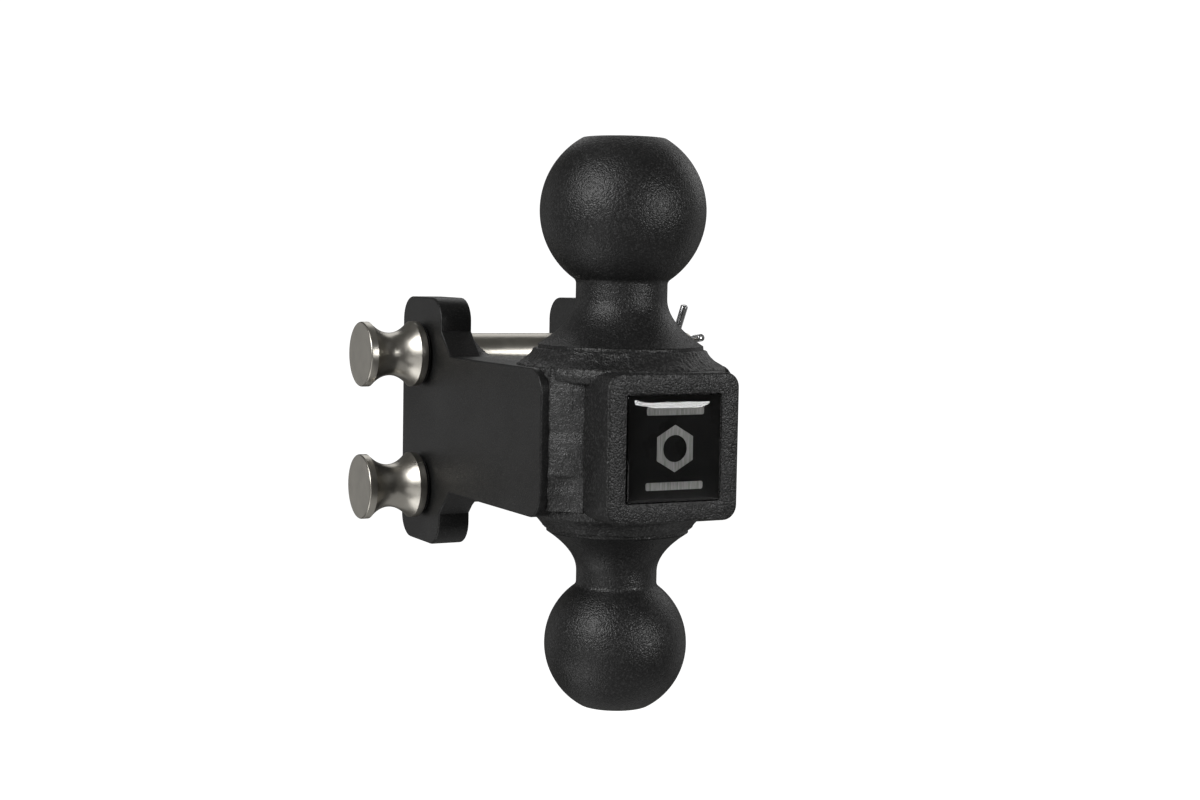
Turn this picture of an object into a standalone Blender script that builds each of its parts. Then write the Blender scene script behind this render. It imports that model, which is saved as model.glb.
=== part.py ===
"""Twin-ball trailer hitch mount.

A solid square bar carries a large ball above and a smaller one below. Two eared side plates are
welded to it and form a channel for the hitch's upright shank. Two pins with spool-shaped heads
cross the channel, each held by a hairpin clip.

Frame: the origin is the centre of the channel's floor, midway between the pins. +Y points out of
the channel, towards the towing vehicle, and +Z is up. The pins' heads are on the -X side.
"""

import math

import bmesh
import bpy
from mathutils import Matrix, Vector

INCH = 0.0254
MM = 0.001

GAP = 0.3 * MM  # clearance kept between neighbouring solids

# Bar
BAR_SIDE = 2 * INCH
BAR_CORNER_R = 5.2 * MM
BAR_EDGE_BEVEL = 0.9 * MM
FLOOR_TO_BALLS = 72 * MM  # channel floor to the balls' common axis
BALLS_TO_FRONT = 39.4 * MM  # that axis to the bar's front face

# Side plates
PLATE_THICKNESS = 0.5 * INCH
PLATE_PROUD = 0.3 * MM  # how far the plates' edges stand above the bar's faces
PLATE_PAST_BALLS = 15.4 * MM  # how far the plates run in front of the balls' axis
PLATE_CORNER_R = 8.5 * MM
EAR_WIDTH = 1.5 * INCH
EAR_SPAN = 94.8 * MM
EAR_CORNER_R = 9 * MM
EAR_SLOPE = 9.2 * MM  # the 45 degree step from ear to plate

# Balls. A neck starts above the bar's face and runs straight for its length, then the ball
# sits on it with a fillet. The flat is cut into the ball's end.
UPPER_BALL_D = (2 + 5 / 16) * INCH
UPPER_FLAT_DEPTH = 3.87 * MM
UPPER_NECK_R = 16.2 * MM
UPPER_NECK_START = 24.1 * MM
UPPER_NECK_LENGTH = 4.95 * MM
UPPER_FLANGE_R = 29.3 * MM

LOWER_BALL_D = 2 * INCH
LOWER_FLAT_DEPTH = 3.3 * MM
LOWER_NECK_R = 14.4 * MM
LOWER_NECK_START = 22.1 * MM
LOWER_NECK_LENGTH = 3.85 * MM
LOWER_FLANGE_R = 25.3 * MM

FLANGE_HEIGHT = 7.6 * MM
NECK_FILLET_R = 2.2 * MM
FLAT_EDGE_R = 1.2 * MM
SPIGOT_R = 12.7 * MM
SPIGOT_LENGTH = 12 * MM

# Welds
BALL_WELD_WIDTH = 7.7 * MM
BALL_WELD_HEIGHT = 6 * MM
BALL_WELD_DROP = 4 * MM  # how far the bead hangs over the bar's rounded edges
FRONT_WELD_ON_PLATE = 9.2 * MM
FRONT_WELD_ON_BAR = 7 * MM
FRONT_WELD_SAG = 0.12  # the face's hollow at mid-height, as a share of its distance from the corner
EAR_WELD_LEG = 11 * MM
EAR_WELD_LENGTH = 12 * MM
SEAM_TAPER = 4 * MM
SEAM_START_ANGLE = math.radians(30)  # where the bead's root starts on the bar's rounded edge

# Pins
PIN_D = 5 / 8 * INCH
PIN_HOLE_CLEARANCE = 1 / 32 * INCH  # on the diameter
PIN_SPACING = 2 * INCH
PIN_TO_CLIP = 34.4 * MM  # right plate's outer face to the clip's cross hole
CLIP_TO_PIN_END = 8.3 * MM
PIN_END_CHAMFER = 1.2 * MM
HEAD_LENGTH = 23.4 * MM
HEAD_FACE_R = 12.4 * MM
HEAD_FLANGE_R = 12.6 * MM
HEAD_WAIST_R = 8.2 * MM
HEAD_RIM = 3 * MM
HEAD_CHAMFER = 0.7 * MM
WASHER_THICKNESS = 1.2 * MM
WASHER_R = 11.6 * MM

# Hairpin clips: u runs along the straight leg to its tip, v towards the bent leg
WIRE_D = 3.1 * MM
CLIP_HOLE_CLEARANCE = 1.1 * MM  # on the diameter
CLIP_TIP = 22.3 * MM
CLIP_TAIL = 33 * MM  # pin's axis to the eye's centre
CLIP_EYE_R = 5.2 * MM
CLIP_NECK = 4.2 * MM  # bent leg's distance from the straight one between pin and eye
CLIP_FLARE = 18.4 * MM  # distance of the bent leg's turned-out tip from the straight leg
UPPER_CLIP_ANGLE = math.radians(119)  # direction of u, from +Y towards +Z
LOWER_CLIP_ANGLE = math.radians(325)

# Badge
BADGE_SIDE = 36 * MM
BADGE_CORNER_R = 0.8 * MM
POCKET_DEPTH = 1.6 * MM
BADGE_BACKING = 0.5 * MM
EMBLEM_THICKNESS = 0.2 * MM
EMBLEM_R = 8 * MM
EMBLEM_HOLE_R = 4.6 * MM
EMBLEM_BAR_LENGTH = 22 * MM
EMBLEM_BAR_WIDTH = 2.6 * MM
EMBLEM_BAR_OFFSET = 12.6 * MM
DOME_RISE = 1.6 * MM
DOME_SHOULDER = 3.2 * MM
DOME_SKIRT = 0.2 * MM

# Places worked out from the sizes above
HALF_BAR = BAR_SIDE / 2
PLATE_INNER = HALF_BAR + GAP
PLATE_OUTER = PLATE_INNER + PLATE_THICKNESS
HALF_PLATE_HEIGHT = HALF_BAR + PLATE_PROUD
HALF_EAR_SPAN = EAR_SPAN / 2
BALLS_Y = -FLOOR_TO_BALLS
BAR_FRONT_Y = BALLS_Y - BALLS_TO_FRONT
PLATE_FRONT_Y = BALLS_Y - PLATE_PAST_BALLS
SEAM_FRONT_Y = PLATE_FRONT_Y + PLATE_CORNER_R
PIN_Y = EAR_WIDTH / 2
PIN_R = PIN_D / 2
PIN_HOLE_R = (PIN_D + PIN_HOLE_CLEARANCE) / 2
CLIP_HOLE_R = (WIRE_D + CLIP_HOLE_CLEARANCE) / 2
FLANGE_SEAT = PLATE_PROUD + GAP  # height of the balls' flanges above the bar's face
WASHER_X = -(PLATE_OUTER + GAP + WASHER_THICKNESS / 2)
HEAD_X = -(PLATE_OUTER + GAP + WASHER_THICKNESS + GAP)
CLIP_X = PLATE_OUTER + PIN_TO_CLIP

TURN_STEPS = 48
QUARTER = math.pi / 2


# ---------------------------------------------------------------- helpers

def clear_scene():
    for obj in list(bpy.data.objects):
        bpy.data.objects.remove(obj, do_unlink=True)


def collection(name):
    made = bpy.data.collections.new(name)
    bpy.context.scene.collection.children.link(made)
    return made


def material(name, color, roughness, metallic=0.0):
    made = bpy.data.materials.new(name)
    made.use_nodes = True
    shader = made.node_tree.nodes["Principled BSDF"]
    shader.inputs["Base Color"].default_value = (*color, 1.0)
    shader.inputs["Roughness"].default_value = roughness
    shader.inputs["Metallic"].default_value = metallic
    made.diffuse_color = (*color, 1.0)
    return made


def evaluated_mesh(obj):
    graph = bpy.context.evaluated_depsgraph_get()
    graph.update()
    return bpy.data.meshes.new_from_object(obj.evaluated_get(graph))


def as_solid(obj, weld=True):
    """Replace a curve or a mesh with modifiers by its evaluated mesh, in the same place."""
    mesh = evaluated_mesh(obj)
    work = bmesh.new()
    work.from_mesh(mesh)
    if weld:
        bmesh.ops.remove_doubles(work, verts=work.verts, dist=0.01 * MM)
    bmesh.ops.recalc_face_normals(work, faces=work.faces)
    work.to_mesh(mesh)
    work.free()
    name, home, matrix = obj.name, obj.users_collection[0], obj.matrix_world.copy()
    bpy.data.objects.remove(obj, do_unlink=True)
    solid = bpy.data.objects.new(name, mesh)
    solid.matrix_world = matrix
    home.objects.link(solid)
    return solid


def shade(obj, angle=35):
    obj.data.shade_smooth()
    obj.data.set_sharp_from_angle(angle=math.radians(angle))


def dress(obj, finish):
    obj.data.materials.clear()
    obj.data.materials.append(finish)
    return obj


def cut(obj, cutter):
    """Cut an object with another and keep the cut as its mesh."""
    step = obj.modifiers.new("Cut", "BOOLEAN")
    step.operation = "DIFFERENCE"
    step.object = cutter
    bpy.context.view_layer.update()
    return as_solid(obj, weld=False)


def as_cutter(obj):
    obj.hide_render = True
    obj.display_type = "WIRE"
    return obj


def turned(name, home, profile, steps=TURN_STEPS, closed=False):
    """Spin a profile of (radius, height) points, listed down the outer side, about local Z."""
    mesh = bpy.data.meshes.new(name)
    verts = [(r, 0.0, z) for r, z in profile]
    edges = [(i, i + 1) for i in range(len(verts) - 1)]
    if closed:
        edges.append((len(verts) - 1, 0))
    mesh.from_pydata(verts, edges, [])
    obj = bpy.data.objects.new(name, mesh)
    home.objects.link(obj)
    spin = obj.modifiers.new("Turn", "SCREW")
    spin.steps = steps
    spin.render_steps = steps
    spin.use_merge_vertices = True
    spin.merge_threshold = 0.00005
    return as_solid(obj)


def outline(name, home, points, thickness, holes=()):
    """A flat outline of (x, y) points, extruded to a thickness about local Z = 0."""
    curve = bpy.data.curves.new(name, "CURVE")
    curve.dimensions = "2D"
    curve.fill_mode = "BOTH"
    curve.extrude = thickness / 2
    for loop in (points, *holes):
        spline = curve.splines.new("POLY")
        spline.points.add(len(loop) - 1)
        for point, (x, y) in zip(spline.points, loop):
            point.co = (x, y, 0.0, 1.0)
        spline.use_cyclic_u = True
    obj = bpy.data.objects.new(name, curve)
    home.objects.link(obj)
    return as_solid(obj)


def arc(cx, cy, radius, start, end, steps):
    """Points along an arc, angles in radians, both ends included."""
    angles = [start + (end - start) * i / steps for i in range(steps + 1)]
    return [(cx + radius * math.cos(a), cy + radius * math.sin(a)) for a in angles]


def rounded_rectangle(width, height, radius, steps=5):
    """Counter-clockwise outline, centred on the origin."""
    x, y = width / 2 - radius, height / 2 - radius
    corners = ((x, y, 0), (-x, y, 1), (-x, -y, 2), (x, -y, 3))
    points = []
    for cx, cy, quarter in corners:
        points += arc(cx, cy, radius, quarter * QUARTER, (quarter + 1) * QUARTER, steps)
    return points


def box(name, home, low, high):
    """A box between two corners."""
    size = [b - a for a, b in zip(low, high)]
    center = [(a + b) / 2 for a, b in zip(low, high)]
    mesh = bpy.data.meshes.new(name)
    work = bmesh.new()
    fit = Matrix.Translation(center) @ Matrix.Diagonal((*size, 1.0))
    bmesh.ops.create_cube(work, size=1.0, matrix=fit)
    work.to_mesh(mesh)
    work.free()
    obj = bpy.data.objects.new(name, mesh)
    home.objects.link(obj)
    return obj


def loft(name, home, sections):
    """Join closed sections of equal point count into one capped solid."""
    work = bmesh.new()
    rings = [[work.verts.new(point) for point in section] for section in sections]
    count = len(rings[0])
    for near, far in zip(rings, rings[1:]):
        for i in range(count):
            j = (i + 1) % count
            work.faces.new((near[i], near[j], far[j], far[i]))
    work.faces.new(rings[0][::-1])
    work.faces.new(rings[-1])
    bmesh.ops.recalc_face_normals(work, faces=work.faces)
    mesh = bpy.data.meshes.new(name)
    work.to_mesh(mesh)
    work.free()
    obj = bpy.data.objects.new(name, mesh)
    home.objects.link(obj)
    return obj


def bevel(obj, width, segments, angle=60):
    step = obj.modifiers.new("Edges", "BEVEL")
    step.width = width
    step.segments = segments
    step.limit_method = "ANGLE"
    step.angle_limit = math.radians(angle)
    return as_solid(obj)


def place(obj, location=(0, 0, 0), rotation=(0, 0, 0)):
    obj.location = location
    obj.rotation_euler = rotation
    bpy.context.view_layer.update()
    return obj


# ---------------------------------------------------------------- bar and plates

def bar_block(name, home, margin=0.0):
    """The bar as a plain rounded block, grown by a margin on every side."""
    side = BAR_SIDE + 2 * margin
    length = FLOOR_TO_BALLS + BALLS_TO_FRONT + 2 * margin
    block = outline(name, home, rounded_rectangle(side, side, BAR_CORNER_R + margin), length)
    return place(block, (0, BAR_FRONT_Y - margin + length / 2, 0), (QUARTER, 0, 0))


def center_bar(home, cutters, finish):
    bar = bevel(bar_block("center_bar", home), BAR_EDGE_BEVEL, 1)
    for side in (1, -1):
        depth = SPIGOT_LENGTH + GAP
        bore = turned("bore_cutter", cutters, cylinder_profile(SPIGOT_R + GAP, 2 * depth))
        place(as_cutter(bore), (0, BALLS_Y, side * HALF_BAR))
        bar = cut(bar, bore)
    pocket_side = BADGE_SIDE + 2 * GAP
    pocket_outline = rounded_rectangle(pocket_side, pocket_side, BADGE_CORNER_R)
    pocket = outline("pocket_cutter", cutters, pocket_outline, 2 * POCKET_DEPTH)
    place(as_cutter(pocket), (0, BAR_FRONT_Y, 0), (QUARTER, 0, 0))
    bar = cut(bar, pocket)
    shade(bar)
    dress(bar, finish)


def plate_outline(margin=0.0):
    """Side plate outline as (y, z), counter-clockwise, mirrored about z = 0."""
    front = PLATE_FRONT_Y - margin
    half = HALF_PLATE_HEIGHT + margin
    top = HALF_EAR_SPAN + margin
    rear = EAR_WIDTH + margin
    corner = PLATE_CORNER_R + margin
    ear_corner = min(EAR_CORNER_R, HALF_EAR_SPAN - HALF_PLATE_HEIGHT - EAR_SLOPE - GAP) + margin
    upper = arc(rear - ear_corner, top - ear_corner, ear_corner, 0, QUARTER, 6)
    upper += arc(ear_corner - margin, top - ear_corner, ear_corner, QUARTER, 2 * QUARTER, 6)
    upper.append((-margin, half + EAR_SLOPE))
    upper.append((-margin - EAR_SLOPE, half))
    upper += arc(front + corner, half - corner, corner, QUARTER, 2 * QUARTER, 6)
    lower = [(y, -z) for y, z in reversed(upper)]
    return upper + lower


def side_plate(name, home, cutters, finish, side):
    plate = outline(name, home, plate_outline(), PLATE_THICKNESS)
    place(plate, (side * (PLATE_INNER + PLATE_THICKNESS / 2), 0, 0), (QUARTER, 0, QUARTER))
    for level in (1, -1):
        hole = turned("pin_hole_cutter", cutters, cylinder_profile(PIN_HOLE_R, 4 * PLATE_THICKNESS), 32)
        place(as_cutter(hole), (plate.location.x, PIN_Y, level * PIN_SPACING / 2), (0, QUARTER, 0))
        plate = cut(plate, hole)
    shade(plate)
    dress(plate, finish)


# ---------------------------------------------------------------- balls

def cylinder_profile(radius, length):
    return [(0, length / 2), (radius, length / 2), (radius, -length / 2), (0, -length / 2)]


def ball_profile(ball_d, flat_depth, neck_r, neck_start, neck_length, flange_r):
    """From the ball's flat down to its spigot, as (radius, height above the bar's face)."""
    ball_r = ball_d / 2
    # Ball: an arc from the flat's rounded edge to where the neck's fillet begins
    flat_height = ball_r - flat_depth
    flat_angle = math.asin(flat_height / ball_r)
    edge_angle = flat_angle - FLAT_EDGE_R / ball_r
    fillet_r = neck_r + NECK_FILLET_R
    fillet_drop = math.sqrt((ball_r + NECK_FILLET_R) ** 2 - fillet_r ** 2)
    neck_angle = -math.asin(fillet_drop / (ball_r + NECK_FILLET_R))
    height = neck_start + neck_length + fillet_drop
    profile = [(0, height + flat_height)]
    profile.append((ball_r * math.cos(flat_angle) - FLAT_EDGE_R / 2, height + flat_height))
    profile += arc(0, height, ball_r, edge_angle, neck_angle, 18)
    # Fillet between ball and neck
    turn_from = math.pi + neck_angle
    profile += arc(fillet_r, height - fillet_drop, NECK_FILLET_R, turn_from, math.pi, 2)[1:]
    # Neck, then a flare that widens with the square of the drop, then the flange's rim
    flare_drop = neck_start - FLANGE_HEIGHT
    for i in range(9):
        t = i / 8
        profile.append((neck_r + (flange_r - neck_r) * t * t, neck_start - flare_drop * t))
    profile.append((flange_r, FLANGE_SEAT))
    profile.append((SPIGOT_R, FLANGE_SEAT))
    profile.append((SPIGOT_R, -SPIGOT_LENGTH))
    profile.append((0, -SPIGOT_LENGTH))
    return profile


def flipped(profile):
    """The same turned shape upside down, still listed from top to bottom."""
    return [(r, -z) for r, z in reversed(profile)]


def balls(home, finish):
    upper = ball_profile(UPPER_BALL_D, UPPER_FLAT_DEPTH, UPPER_NECK_R, UPPER_NECK_START,
                         UPPER_NECK_LENGTH, UPPER_FLANGE_R)
    lower = ball_profile(LOWER_BALL_D, LOWER_FLAT_DEPTH, LOWER_NECK_R, LOWER_NECK_START,
                         LOWER_NECK_LENGTH, LOWER_FLANGE_R)
    for name, profile, level in (("upper_ball", upper, 1), ("lower_ball", flipped(lower), -1)):
        ball = turned(name, home, profile)
        place(ball, (0, BALLS_Y, level * HALF_BAR))
        shade(ball, 40)
        dress(ball, finish)


# ---------------------------------------------------------------- welds

def ball_weld_profile(flange_r):
    """A bead round the flange that also hangs over the bar's edges, as a closed loop."""
    inner = flange_r + GAP
    toe = inner + BALL_WELD_WIDTH
    profile = []
    for share in (0, 0.3, 0.6, 0.85):
        a = share * QUARTER
        profile.append((inner + BALL_WELD_WIDTH * (1 - math.cos(a)), BALL_WELD_HEIGHT * (1 - math.sin(a))))
    return profile + [(toe, GAP), (toe, -BALL_WELD_DROP), (inner, -BALL_WELD_DROP)]


def ball_welds(home, cutters, finish):
    spaces = [bar_block("bar_space_cutter", cutters, GAP)]
    for side in (1, -1):
        space = outline("plate_space_cutter", cutters, plate_outline(GAP), PLATE_THICKNESS + 2 * GAP)
        place(space, (side * (PLATE_INNER + PLATE_THICKNESS / 2), 0, 0), (QUARTER, 0, QUARTER))
        spaces.append(space)
    # The grooves beside the bar belong to the seam beads. The box ends a little over a gap above
    # the bar, so that no two cutters share a plane.
    reach, top = PLATE_INNER + GAP, HALF_BAR + 1.2 * GAP
    spaces.append(box("seam_space_cutter", cutters, (-reach, SEAM_FRONT_Y - GAP, -top), (reach, GAP, top)))
    upper = ball_weld_profile(UPPER_FLANGE_R)
    lower = flipped(ball_weld_profile(LOWER_FLANGE_R))
    for name, profile, level in (("upper_ball_weld", upper, 1), ("lower_ball_weld", lower, -1)):
        bead = turned(name, home, profile, closed=True)
        place(bead, (0, BALLS_Y, level * HALF_BAR))
        for space in spaces:
            bead = cut(bead, as_cutter(space))
        shade(bead)
        dress(bead, finish)


def front_weld(name, home, finish, side):
    """Upright bead in the corner between a plate's front edge and the bar's side."""
    x, y = HALF_BAR + GAP, PLATE_FRONT_Y - GAP
    face = []
    for i in range(7):
        t = i / 6
        sag = FRONT_WELD_SAG * math.sin(math.pi * t)
        face.append((side * (x + FRONT_WELD_ON_PLATE * (1 - t) * (1 - sag)),
                     y - FRONT_WELD_ON_BAR * t * (1 - sag)))
    height = 2 * (HALF_BAR - BALL_WELD_DROP - GAP)
    bead = outline(name, home, [(side * x, y), *face], height)
    shade(bead)
    dress(bead, finish)


def seam_section(y, leg, side, level):
    """Seam bead's section at y: it fills the groove beside the bar's rounded edge, and where
    leg is over zero it also rises as a concave fillet between the bar's top and the ear."""
    center = HALF_BAR - BAR_CORNER_R
    radius = BAR_CORNER_R + GAP
    wall = PLATE_INNER - GAP
    flush = math.asin(BAR_CORNER_R / radius)
    points = arc(center, center, radius, SEAM_START_ANGLE, QUARTER if leg else flush, 4)
    foot = HALF_BAR + GAP if leg else HALF_BAR
    toe = wall - leg if leg else points.pop()[0]
    for i in range(8 if leg else 9):
        t = i / (7 if leg else 8) * QUARTER
        points.append((toe + (wall - toe) * math.sin(t), foot + leg * (1 - math.cos(t))))
    return [Vector((side * x, y, level * z)) for x, z in points]


def seam_weld(name, home, finish, side, level):
    """Bead along the seam between the bar's edge and a plate, rising at the ear."""
    rear = -GAP
    # (y, fillet's leg) along the bead
    stations = [
        (SEAM_FRONT_Y, 0.0),
        (rear - EAR_WELD_LENGTH - SEAM_TAPER, 0.0),
        (rear - EAR_WELD_LENGTH, EAR_WELD_LEG * 0.45),
        (rear - EAR_SLOPE * 0.4, EAR_WELD_LEG * 0.9),
        (rear, EAR_WELD_LEG),
    ]
    bead = loft(name, home, [seam_section(y, leg, side, level) for y, leg in stations])
    shade(bead)
    dress(bead, finish)


# ---------------------------------------------------------------- badge

def badge(home, backing_finish, emblem_finish, dome_finish):
    facing = (QUARTER, 0, 0)
    backing_y = BAR_FRONT_Y + POCKET_DEPTH - GAP - BADGE_BACKING / 2
    backing = outline("badge_backing", home, rounded_rectangle(BADGE_SIDE, BADGE_SIDE, BADGE_CORNER_R),
                      BADGE_BACKING)
    dress(place(backing, (0, backing_y, 0), facing), backing_finish)

    emblem_y = backing_y - BADGE_BACKING / 2 - GAP - EMBLEM_THICKNESS / 2
    hexagon = arc(0, 0, EMBLEM_R, math.pi / 6, math.pi / 6 + 5 / 3 * math.pi, 5)
    hole = arc(0, 0, EMBLEM_HOLE_R, 0, 2 * math.pi * 23 / 24, 23)
    emblem = outline("badge_emblem", home, hexagon, EMBLEM_THICKNESS, holes=(hole,))
    dress(place(emblem, (0, emblem_y, 0), facing), emblem_finish)
    for name, level in (("badge_upper_bar", 1), ("badge_lower_bar", -1)):
        bar = outline(name, home, rounded_rectangle(EMBLEM_BAR_LENGTH, EMBLEM_BAR_WIDTH, EMBLEM_BAR_WIDTH / 4),
                      EMBLEM_THICKNESS)
        dress(place(bar, (0, emblem_y, level * EMBLEM_BAR_OFFSET), facing), emblem_finish)

    back_y = emblem_y - EMBLEM_THICKNESS / 2 - GAP
    sections = [(back_y, 0.0)]
    for i in range(7):
        t = i / 6 * QUARTER
        inset = DOME_SHOULDER * (1 - math.cos(t))
        sections.append((back_y - DOME_SKIRT - DOME_RISE * math.sin(t), inset))
    rings = []
    for y, inset in sections:
        side = BADGE_SIDE - 2 * inset
        rings.append([(x, y, z) for x, z in rounded_rectangle(side, side, BADGE_CORNER_R + inset)])
    dome = loft("badge_dome", home, rings)
    shade(dome)
    dress(dome, dome_finish)


# ---------------------------------------------------------------- pins and clips

def pin_profile():
    """From the head's outer face to the shank's end, as (radius, height above the head's seat)."""
    waist_half = (HEAD_LENGTH - 2 * HEAD_RIM) / 2
    profile = [(0, HEAD_LENGTH), (HEAD_FACE_R - HEAD_CHAMFER, HEAD_LENGTH)]
    profile.append((HEAD_FACE_R, HEAD_LENGTH - HEAD_CHAMFER))
    for i in range(13):
        t = -1 + i / 6
        rim_r = HEAD_FACE_R if t < 0 else HEAD_FLANGE_R
        r = HEAD_WAIST_R + (rim_r - HEAD_WAIST_R) * t * t
        profile.append((r, HEAD_RIM + waist_half * (1 - t)))
    profile.append((HEAD_FLANGE_R, HEAD_CHAMFER / 2))
    profile.append((HEAD_FLANGE_R - HEAD_CHAMFER / 2, 0))
    profile.append((PIN_R, 0))
    end = -(CLIP_X + CLIP_TO_PIN_END - HEAD_X)
    profile.append((PIN_R, end + PIN_END_CHAMFER))
    profile.append((PIN_R - PIN_END_CHAMFER, end))
    profile.append((0, end))
    return profile


def hitch_pin(name, home, cutters, finish, level, clip_angle):
    pin = turned(name, home, pin_profile(), 40)
    place(pin, (HEAD_X, PIN_Y, level), (0, -QUARTER, 0))
    hole = turned("clip_hole_cutter", cutters, cylinder_profile(CLIP_HOLE_R, 2 * PIN_D), 20)
    place(as_cutter(hole), (CLIP_X, PIN_Y, level), (clip_angle - QUARTER, 0, 0))
    pin = cut(pin, hole)
    shade(pin, 30)
    dress(pin, finish)


def pin_washer(name, home, finish, level):
    half = WASHER_THICKNESS / 2
    inner = PIN_R + GAP
    profile = [(inner, half), (WASHER_R - half, half), (WASHER_R, 0), (WASHER_R - half, -half), (inner, -half)]
    washer = turned(name, home, profile, 40, closed=True)
    place(washer, (WASHER_X, PIN_Y, level), (0, -QUARTER, 0))
    shade(washer, 50)
    dress(washer, finish)


def smooth_through(points, steps):
    """Catmull-Rom curve through the inner points; the first and last only steer it."""
    path = []
    for a, b, c, d in zip(points, points[1:], points[2:], points[3:]):
        for i in range(steps):
            t = i / steps
            path.append(tuple(
                0.5 * (2 * q + (r - p) * t + (2 * p - 5 * q + 4 * r - s) * t ** 2
                       + (3 * q - p - 3 * r + s) * t ** 3)
                for p, q, r, s in zip(a, b, c, d)))
    path.append(points[-2])
    return path


def clip_path():
    """Hairpin centre line as (u, v): straight leg, eye, neck, bow over the pin, flared tip."""
    # The bow's points are multiples of its radius over the pin
    over_pin = PIN_R + WIRE_D / 2 + GAP
    straight = [(CLIP_TIP, 0.0), (0.0, 0.0)]
    eye = arc(-CLIP_TAIL, CLIP_EYE_R, CLIP_EYE_R, 3 * QUARTER, math.radians(50), 13)
    leaves_eye = eye[-1]
    bow = [
        eye[-2],
        leaves_eye,
        (-over_pin * 2.2, CLIP_NECK),
        (-over_pin * 1.45, CLIP_NECK * 1.05),
        (-over_pin * 0.9, over_pin * 0.72),
        (-over_pin * 0.48, over_pin * 0.95),
        (0.0, over_pin * 1.02),
        (over_pin * 0.5, over_pin * 1.03),
        (over_pin * 1.1, over_pin * 1.1),
        (over_pin * 1.48, over_pin * 1.38),
        (CLIP_TIP - 4 * MM, CLIP_FLARE),
        (CLIP_TIP, CLIP_FLARE + 5 * MM),
    ]
    return straight + eye[:-1] + smooth_through(bow, 3)


def hairpin_clip(name, home, finish, level, angle, turn):
    """turn is 1 where v is a quarter turn past u, seen from +X, and -1 where it is before it."""
    curve = bpy.data.curves.new(name, "CURVE")
    curve.dimensions = "3D"
    curve.bevel_depth = WIRE_D / 2
    curve.bevel_resolution = 2
    curve.use_fill_caps = True
    path = clip_path()
    spline = curve.splines.new("POLY")
    spline.points.add(len(path) - 1)
    for point, (u, v) in zip(spline.points, path):
        point.co = (u, v, 0.0, 1.0)
    clip = bpy.data.objects.new(name, curve)
    home.objects.link(clip)
    along = Vector((0, math.cos(angle), math.sin(angle)))
    across = Vector((0, math.cos(angle + turn * QUARTER), math.sin(angle + turn * QUARTER)))
    axes = Matrix((along, across, along.cross(across))).transposed()
    place(clip, (CLIP_X, PIN_Y, level), axes.to_euler())
    clip = as_solid(clip)
    shade(clip, 50)
    dress(clip, finish)


def build():
    clear_scene()
    parts = collection("trailer_hitch")
    cutters = collection("cutters")

    powder = material("powder_coat", (0.018, 0.018, 0.018), 0.55)
    weld = material("coated_weld", (0.022, 0.022, 0.022), 0.6)
    steel = material("stainless_steel", (0.55, 0.53, 0.5), 0.28, 1.0)
    wire = material("zinc_wire", (0.7, 0.71, 0.72), 0.2, 1.0)
    rubber = material("rubber", (0.01, 0.01, 0.01), 0.8)
    label = material("badge_black", (0.004, 0.004, 0.005), 0.1)
    silver = material("badge_silver", (0.5, 0.5, 0.5), 0.35, 0.9)
    resin = material("badge_resin", (0.01, 0.01, 0.012), 0.05)

    center_bar(parts, cutters, powder)
    balls(parts, powder)
    ball_welds(parts, cutters, weld)
    for side, hand in ((-1, "left"), (1, "right")):
        side_plate(hand + "_side_plate", parts, cutters, powder, side)
        front_weld(hand + "_front_weld", parts, weld, side)
        for level, height in ((1, "upper"), (-1, "lower")):
            seam_weld(height + "_" + hand + "_seam_weld", parts, weld, side, level)
    badge(parts, label, silver, resin)
    for height, level, angle, turn in (("upper", PIN_SPACING / 2, UPPER_CLIP_ANGLE, 1),
                                       ("lower", -PIN_SPACING / 2, LOWER_CLIP_ANGLE, -1)):
        hitch_pin(height + "_pin", parts, cutters, steel, level, angle)
        pin_washer(height + "_pin_washer", parts, rubber, level)
        hairpin_clip(height + "_clip", parts, wire, level, angle, turn)


build()
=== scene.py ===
import math

import bmesh
import bpy
from mathutils import Matrix, Vector, noise


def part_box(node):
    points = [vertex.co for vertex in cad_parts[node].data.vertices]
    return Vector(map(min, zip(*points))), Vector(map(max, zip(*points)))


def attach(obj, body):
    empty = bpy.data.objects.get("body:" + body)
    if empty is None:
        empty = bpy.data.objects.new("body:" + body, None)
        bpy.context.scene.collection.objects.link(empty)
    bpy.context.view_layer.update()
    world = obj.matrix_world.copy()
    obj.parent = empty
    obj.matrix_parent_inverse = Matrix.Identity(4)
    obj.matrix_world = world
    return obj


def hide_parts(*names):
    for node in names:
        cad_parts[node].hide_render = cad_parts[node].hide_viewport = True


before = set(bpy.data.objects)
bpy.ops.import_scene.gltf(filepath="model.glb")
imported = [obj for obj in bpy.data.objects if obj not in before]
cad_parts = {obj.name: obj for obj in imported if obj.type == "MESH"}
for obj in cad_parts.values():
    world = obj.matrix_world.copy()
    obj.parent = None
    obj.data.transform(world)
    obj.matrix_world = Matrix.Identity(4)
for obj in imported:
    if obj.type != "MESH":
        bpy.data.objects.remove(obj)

# The looks of a twin-ball trailer hitch mount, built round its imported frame. Metres; +Z is up,
# +Y points towards the towing vehicle and the pins' heads are on the -X side.

MM = 0.001
INCH = 25.4 * MM
QUARTER = math.pi / 2
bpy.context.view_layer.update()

# Places read from the frame
BAR_LOW, BAR_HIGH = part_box("center_bar")
PLATE_LOW, PLATE_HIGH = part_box("right_side_plate")
UPPER_BALL_LOW, UPPER_BALL_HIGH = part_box("upper_ball")
BADGE_LOW, BADGE_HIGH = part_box("badge_backing")
DOME_LOW, DOME_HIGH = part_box("badge_dome")

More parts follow.
